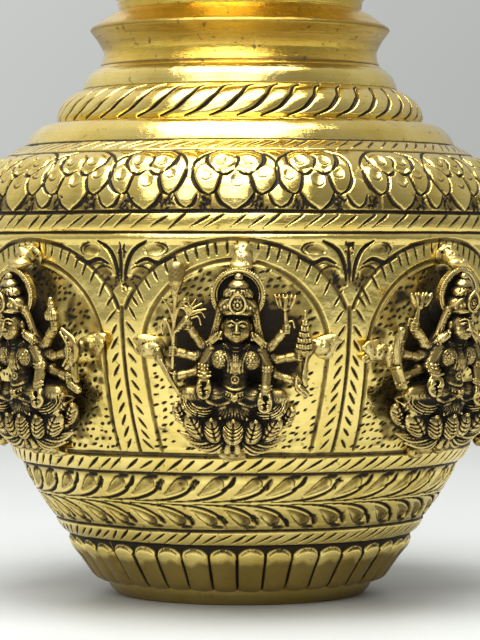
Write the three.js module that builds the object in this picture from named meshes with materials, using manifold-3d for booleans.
// Brass kalash pot: a round-bellied ritual water pot with eight seated goddess castings.
// Millimetres, +Z up. The origin is the centre of the foot, on the surface the pot stands on.
// The front of the pot faces -Y, where the first casting sits.

import * as THREE from 'three';
import { mergeVertices } from 'three/addons/utils/BufferGeometryUtils.js';
import Module from 'manifold-3d';

const wasm = await Module();
wasm.setup();

// ---------- driving dimensions ----------

const BELLY_RADIUS = 79;      // widest outside radius of the belly
const HEIGHT = 190;           // foot to lip
const MOUTH_RADIUS = 45;      // outside radius of the flared lip
const NECK_BORE_RADIUS = 32;  // clear radius down through the neck
const FOOT_RADIUS = 36;       // outside radius where the foot meets the table
const GAP = 0.3;              // brazing gap between touching pieces
const SIDES = 32;             // facets round the pot
const PANELS = 8;             // arched panels, one casting in each

// Heights of the seams between the brazed shells, foot to lip.
const SEAM = {
  foot: 4.8,
  bowl: 43.7,
  belly: 103.8,
  dome: 128.6,
  ring: 135.0,
  rope: 144.8,
  step: 150.4,
  flange: 167.4,
  neck: 176.5,
};

const BRASS = { color: 0xc9a24a, roughness: 0.3, metalness: 1 };
const AGED_BRASS = { color: 0x8f6c30, roughness: 0.42, metalness: 1 };

// ---------- helpers ----------

const group = new THREE.Group();

function addMesh(name, geometry, finish) {
  const mesh = new THREE.Mesh(geometry, new THREE.MeshStandardMaterial(finish));
  mesh.name = name;
  group.add(mesh);
  return mesh;
}

/** Turns an outline of radius and height points about the Z axis. */
function revolve(outline, sides = SIDES) {
  const closed = outline[0].x === 0 ? outline : [...outline, outline[0]];
  const geometry = new THREE.LatheGeometry(closed, sides);
  return geometry.rotateX(Math.PI / 2);
}

/** A closed geometry as a manifold solid. */
function toSolid(geometry) {
  const bare = geometry.clone();
  bare.deleteAttribute('normal');
  bare.deleteAttribute('uv');
  const merged = mergeVertices(bare, 1e-4);
  return new wasm.Manifold(new wasm.Mesh({
    numProp: 3,
    vertProperties: new Float32Array(merged.attributes.position.array),
    triVerts: new Uint32Array(merged.index.array),
  }));
}

/** A manifold solid as a geometry with flat faces. */
function toGeometry(solid) {
  const mesh = solid.getMesh();
  const geometry = new THREE.BufferGeometry();
  const positions = Float32Array.from(mesh.vertProperties);
  geometry.setAttribute('position', new THREE.BufferAttribute(positions, 3));
  geometry.setIndex(new THREE.BufferAttribute(Uint32Array.from(mesh.triVerts), 1));
  geometry.computeVertexNormals();
  return geometry;
}

// ---------- the hollow inside ----------

// Radius and height of the inner face, base to mouth. Every shell is lined by a stretch of it.
const innerFace = new THREE.SplineCurve([
  new THREE.Vector2(38, SEAM.foot),
  new THREE.Vector2(50, 24),
  new THREE.Vector2(63.4, SEAM.bowl),
  new THREE.Vector2(73.4, 62),
  new THREE.Vector2(BELLY_RADIUS - 2.6, 82),
  new THREE.Vector2(BELLY_RADIUS - 2.6, SEAM.belly),
  new THREE.Vector2(71.5, 115),
  new THREE.Vector2(57, SEAM.dome),
  new THREE.Vector2(48, SEAM.ring),
  new THREE.Vector2(41, SEAM.rope),
  new THREE.Vector2(37, SEAM.step),
  new THREE.Vector2(36, 158),
  new THREE.Vector2(NECK_BORE_RADIUS, SEAM.flange),
]);

/** Inner radius at a height, by bisection along the curve, which only ever rises. */
function innerRadius(height) {
  let low = 0;
  let high = 1;
  for (let step = 0; step < 40; step += 1) {
    const middle = (low + high) / 2;
    if (innerFace.getPoint(middle).y < height) low = middle;
    else high = middle;
  }
  return innerFace.getPoint(low).x;
}

/** A shell between two seams: its outer path runs upward, and the inner face closes it. */
function shell(outerPoints, innerSteps) {
  const bottom = outerPoints[0].y;
  const top = outerPoints[outerPoints.length - 1].y;
  const lining = [];
  for (let step = 0; step <= innerSteps; step += 1) {
    const height = THREE.MathUtils.lerp(top, bottom, step / innerSteps);
    lining.push(new THREE.Vector2(innerRadius(height), height));
  }
  return [...outerPoints, ...lining];
}

const above = (seam) => seam + GAP / 2;
const below = (seam) => seam - GAP / 2;

// ---------- outlines of the shells, radius then height, running upward ----------

function lowerBowlOuter() {
  const path = new THREE.Path();
  path.moveTo(39.6, above(SEAM.foot));
  path.quadraticCurveTo(42.2, 5.6, 43.2, 8);        // turned-in lower edge of the petals
  path.quadraticCurveTo(46.6, 12.8, 48.9, 16.6);    // petals
  path.lineTo(49.8, 18);                            // small cable band
  path.lineTo(53, 22.2);
  path.quadraticCurveTo(58.6, 29, 63.2, 38);        // leaf garland
  path.lineTo(66.5, below(SEAM.bowl));              // hatched band
  return path.getPoints(3);
}

function bellyOuter() {
  const path = new THREE.Path();
  path.moveTo(66.7, above(SEAM.bowl));
  path.quadraticCurveTo(BELLY_RADIUS, 62, BELLY_RADIUS, 84);
  path.lineTo(BELLY_RADIUS, below(SEAM.belly));
  return path.getPoints(7);
}

function domeOuter() {
  const path = new THREE.Path();
  path.moveTo(BELLY_RADIUS, above(SEAM.belly));
  path.lineTo(BELLY_RADIUS - 0.3, 108.8);           // hatched band
  path.bezierCurveTo(78.6, 117, 73.4, 123, 67.4, 125.5); // leaf-scroll band
  path.lineTo(62, below(SEAM.dome));                // narrow hatched band
  return path.getPoints(6);
}

function shoulderRingOuter() {
  const path = new THREE.Path();
  path.moveTo(61.9, above(SEAM.dome));
  path.bezierCurveTo(60.6, 133.2, 58.4, 134.3, 53.4, below(SEAM.ring));
  return path.getPoints(4);
}

function ropeRingOuter() {
  const path = new THREE.Path();
  path.moveTo(52.6, above(SEAM.ring));
  path.bezierCurveTo(53, 139.8, 50.2, 142.4, 45.4, below(SEAM.rope));
  return path.getPoints(5);
}

function neckStepOuter() {
  const path = new THREE.Path();
  path.moveTo(45.3, above(SEAM.rope));
  path.bezierCurveTo(45.2, 147.4, 44.2, 148.8, 42, below(SEAM.step));
  return path.getPoints(4);
}

function neckFlangeOuter() {
  const path = new THREE.Path();
  path.moveTo(41.5, above(SEAM.step));
  path.quadraticCurveTo(37.9, 154.6, 40.9, 158.2);  // waist under the flange
  path.lineTo(43.3, 161.8);
  path.lineTo(42.9, 162.7);
  path.quadraticCurveTo(39, 165.6, 35.4, below(SEAM.flange));
  return path.getPoints(4);
}

// ---------- shells ----------

function footRing() {
  const ledge = 30;
  const top = below(SEAM.foot);
  return revolve([
    new THREE.Vector2(FOOT_RADIUS - 3.4, 0),
    new THREE.Vector2(FOOT_RADIUS, 0),
    new THREE.Vector2(39.4, 3.2),
    new THREE.Vector2(39.2, top),
    new THREE.Vector2(ledge, top),
    new THREE.Vector2(ledge, top - 2),
    new THREE.Vector2(FOOT_RADIUS - 3.4, top - 2.4),
  ]);
}

function baseDisc() {
  const radius = innerRadius(SEAM.foot) - GAP - 0.2;
  return revolve([
    new THREE.Vector2(0, above(SEAM.foot)),
    new THREE.Vector2(radius, above(SEAM.foot)),
    new THREE.Vector2(radius, above(SEAM.foot) + 1.8),
    new THREE.Vector2(0, above(SEAM.foot) + 1.8),
  ]);
}

function neckTube() {
  const bottom = above(SEAM.flange);
  const top = below(SEAM.neck);
  return revolve([
    new THREE.Vector2(NECK_BORE_RADIUS, bottom),
    new THREE.Vector2(34.9, bottom),
    new THREE.Vector2(35.3, 170.4),
    new THREE.Vector2(36.4, 172.2),                 // knurled bead
    new THREE.Vector2(36.4, 174.6),
    new THREE.Vector2(35.4, top),
    new THREE.Vector2(NECK_BORE_RADIUS, top),
  ]);
}

function mouthRim() {
  const lipThickness = 3;
  const outer = new THREE.Path();
  outer.moveTo(35.2, above(SEAM.neck));
  outer.quadraticCurveTo(36.4, 184.4, MOUTH_RADIUS, HEIGHT - lipThickness);
  const inner = new THREE.Path();
  inner.moveTo(MOUTH_RADIUS, HEIGHT);
  inner.lineTo(MOUTH_RADIUS - 4.4, HEIGHT);
  inner.quadraticCurveTo(NECK_BORE_RADIUS + 1.6, 184.6, NECK_BORE_RADIUS, above(SEAM.neck));
  return revolve([...outer.getPoints(5), ...inner.getPoints(5)]);
}

addMesh('foot_ring', footRing(), AGED_BRASS);
addMesh('base_disc', baseDisc(), AGED_BRASS);
addMesh('lower_bowl', revolve(shell(lowerBowlOuter(), 4)), BRASS);
addMesh('belly_band', revolve(shell(bellyOuter(), 5)), BRASS);
addMesh('shoulder_dome', revolve(shell(domeOuter(), 4)), BRASS);
addMesh('shoulder_ring', revolve(shell(shoulderRingOuter(), 1)), BRASS);
addMesh('rope_ring', revolve(shell(ropeRingOuter(), 1)), BRASS);
addMesh('neck_step', revolve(shell(neckStepOuter(), 1)), BRASS);
addMesh('neck_flange', revolve(shell(neckFlangeOuter(), 3)), BRASS);
addMesh('neck_tube', neckTube(), BRASS);
addMesh('mouth_rim', mouthRim(), BRASS);

// ---------- goddess castings ----------

// A casting is made in its own frame: X across, Y up, Z outward, with its origin at the navel.
// Its top leans out a little, as the wall does, and four brazed lugs bridge the space behind it.
const CASTING_HEIGHT = 66;        // of the navel, above the table
const CASTING_STANDOFF = 77.8;    // of its back plane at the navel, from the pot's axis
const CASTING_LEAN = THREE.MathUtils.degToRad(8.5);

const matrixOf = (position, rotation, scale) => new THREE.Matrix4().compose(
  new THREE.Vector3(...position),
  new THREE.Quaternion().setFromEuler(new THREE.Euler(...rotation)),
  new THREE.Vector3(...scale),
);

/** An ellipsoid with its half-sizes. */
function lump(position, halfSizes, across = 8, down = 5) {
  const geometry = new THREE.SphereGeometry(1, across, down);
  return toSolid(geometry.applyMatrix4(matrixOf(position, [0, 0, 0], halfSizes)));
}

/** A straight round limb, rod or cone between two points. */
function limb(from, to, radiusFrom, radiusTo, sides) {
  const start = new THREE.Vector3(...from);
  const end = new THREE.Vector3(...to);
  const span = end.clone().sub(start);
  const geometry = new THREE.CylinderGeometry(radiusTo, radiusFrom, span.length(), sides);
  const up = new THREE.Vector3(0, 1, 0);
  const turn = new THREE.Quaternion().setFromUnitVectors(up, span.clone().normalize());
  const middle = start.add(end).multiplyScalar(0.5);
  return toSolid(geometry.applyMatrix4(
    new THREE.Matrix4().compose(middle, turn, new THREE.Vector3(1, 1, 1)),
  ));
}

/** A disc facing outward. */
function disc(position, radius, thickness, sides = 12) {
  const geometry = new THREE.CylinderGeometry(radius, radius, thickness, sides);
  return toSolid(geometry.applyMatrix4(matrixOf(position, [Math.PI / 2, 0, 0], [1, 1, 1])));
}

// Four arms on each side: shoulder, then hand. The other side mirrors them.
const ARMS = [
  { from: [-6.4, 7.6, 3.6], to: [-12.6, 14.4, 3] },
  { from: [-6.4, 5.6, 3.4], to: [-16.4, 7, 3] },
  { from: [-6.4, 3.4, 3.2], to: [-15.8, 0, 3] },
  { from: [-7.4, 7.4, 4.6], to: [-8, -4, 7.4] },
];

function casting() {
  const pieces = [
    disc([0.6, 21.4, 3.4], 7.3, 2.4),                       // halo
    lump([0.6, 15, 5.6], [3.9, 5, 4.2], 7, 4),              // head
    limb([0.6, 18, 5.4], [0.7, 28, 4.2], 4.6, 1.6, 6),      // crown
    lump([0, 5.4, 4], [7.2, 5.6, 4.4], 7, 4),               // chest
    limb([0, 2, 4], [0, -8, 4], 3.6, 5.6, 5),               // waist and pleats
    lump([0, -6.2, 4], [14.6, 3.6, 3.6], 8, 4),             // folded legs
    lump([0, -14, 4.2], [14.4, 6, 4.4], 8, 4),              // lotus seat
    limb([-16.6, 1, 3.2], [-16.6, 23.4, 3.2], 0.9, 2.4, 4), // flower staff
    lump([-12.6, 17.8, 3.2], [2, 4, 2], 5, 3),              // tuft in the raised hand
    lump([12.6, 17.8, 3.2], [2.6, 4, 2], 5, 3),             // lotus bud
    limb([16.4, 6, 3.2], [16.4, 17.4, 3.2], 2.6, 0.5, 5),   // sheaf of grain
  ];
  for (const side of [1, -1]) {
    for (const { from, to } of ARMS) {
      const mirrored = ([x, y, z]) => [x * side, y, z];
      pieces.push(limb(mirrored(from), mirrored(to), 1.6, 1.8, 4));
    }
  }
  return pieces.reduce((whole, piece) => whole.add(piece));
}

/** Places the casting frame on the pot at an angle about its axis. */
function castingMatrix(angle) {
  const lean = new THREE.Matrix4().makeRotationX(Math.PI / 2 + CASTING_LEAN);
  const outward = new THREE.Matrix4().makeTranslation(0, -CASTING_STANDOFF, CASTING_HEIGHT);
  return new THREE.Matrix4().makeRotationZ(angle).multiply(outward).multiply(lean);
}

// The whole outside of the wall, grown by the gap, cuts the roots of the lugs clear of it.
const wallOutline = [
  ...lowerBowlOuter(), ...bellyOuter(), ...domeOuter(),
].map(({ x, y }) => new THREE.Vector2(x + GAP, y));
const wall = toSolid(revolve([
  new THREE.Vector2(0, wallOutline[0].y),
  ...wallOutline,
  new THREE.Vector2(0, wallOutline[wallOutline.length - 1].y),
]));

const castingSolid = casting();

// Lugs: name, centre in the casting frame, radius, and how far they stand out of the wall.
const LUGS = [
  { name: 'top', at: [0.6, 31.8], radius: 2.9, reach: 5.4 },
  { name: 'left', at: [-21.8, 5.4], radius: 2.7, reach: 4 },
  { name: 'right', at: [21.8, 7.4], radius: 2.7, reach: 4 },
  { name: 'bottom', at: [0, -23.4], radius: 2.3, reach: -0.6 },
];

/** A rounded blob of brazing brass, running out from the wall. */
function lug({ at: [across, up], radius, reach }) {
  const root = -14;
  const outline = [
    new THREE.Vector2(0, root),
    new THREE.Vector2(radius * 1.15, root),
    new THREE.Vector2(radius, reach - radius * 0.7),
    new THREE.Vector2(radius * 0.7, reach - radius * 0.2),
    new THREE.Vector2(0, reach),
  ];
  return toSolid(new THREE.LatheGeometry(outline, 8)
    .applyMatrix4(matrixOf([across, up, 0], [Math.PI / 2, 0, 0], [1, 1, 1])));
}

for (let panel = 0; panel < PANELS; panel += 1) {
  const placed = castingMatrix((panel * 2 * Math.PI) / PANELS);
  const number = panel + 1;
  const goddess = castingSolid.transform(placed.elements);
  addMesh(`goddess_casting_${number}`, toGeometry(goddess), AGED_BRASS);
  for (const lugSpec of LUGS) {
    const solid = lug(lugSpec).transform(placed.elements).subtract(wall);
    addMesh(`braze_lug_${number}_${lugSpec.name}`, toGeometry(solid), BRASS);
  }
}

export default group;
